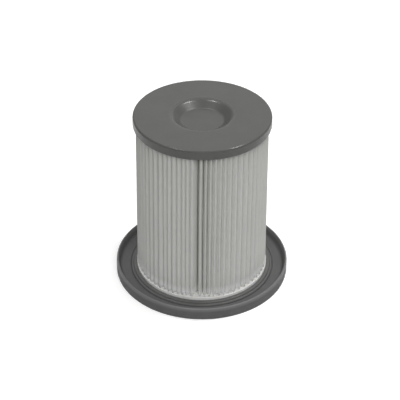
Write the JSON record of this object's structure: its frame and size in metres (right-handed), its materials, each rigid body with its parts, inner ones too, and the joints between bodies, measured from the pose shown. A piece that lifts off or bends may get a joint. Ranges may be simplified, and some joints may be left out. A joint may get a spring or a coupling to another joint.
{
  "type": "vacuum filter",
  "caption": "Cylindrical pleated vacuum cleaner filter: folded paper media between a dimpled cap and a stepped base with a dished seal ring round an open air outlet.",
  "frame": {"origin": "centre of the sealing face on the underside of the seal ring", "axes": "+Z along the filter's axis, from the seal ring up to the cap; the seam of the pleats faces -Y"},
  "size_m": [0.1258, 0.1258, 0.1304],
  "materials": {
    "cap_plastic": "satin",
    "base_plastic": "satin",
    "cage_plastic": "satin",
    "seal_rubber": "matte",
    "filter_paper": "matte",
    "potting_glue": "satin"
  },
  "bodies": {
    "root": {"top_cap": "cap_plastic", "base_plate": "base_plastic", "inner_cage": "cage_plastic", "seal_ring": "seal_rubber", "pleat_pack": "filter_paper", "bottom_glue": "potting_glue", "top_glue": "potting_glue"}
  },
  "joints": []
}
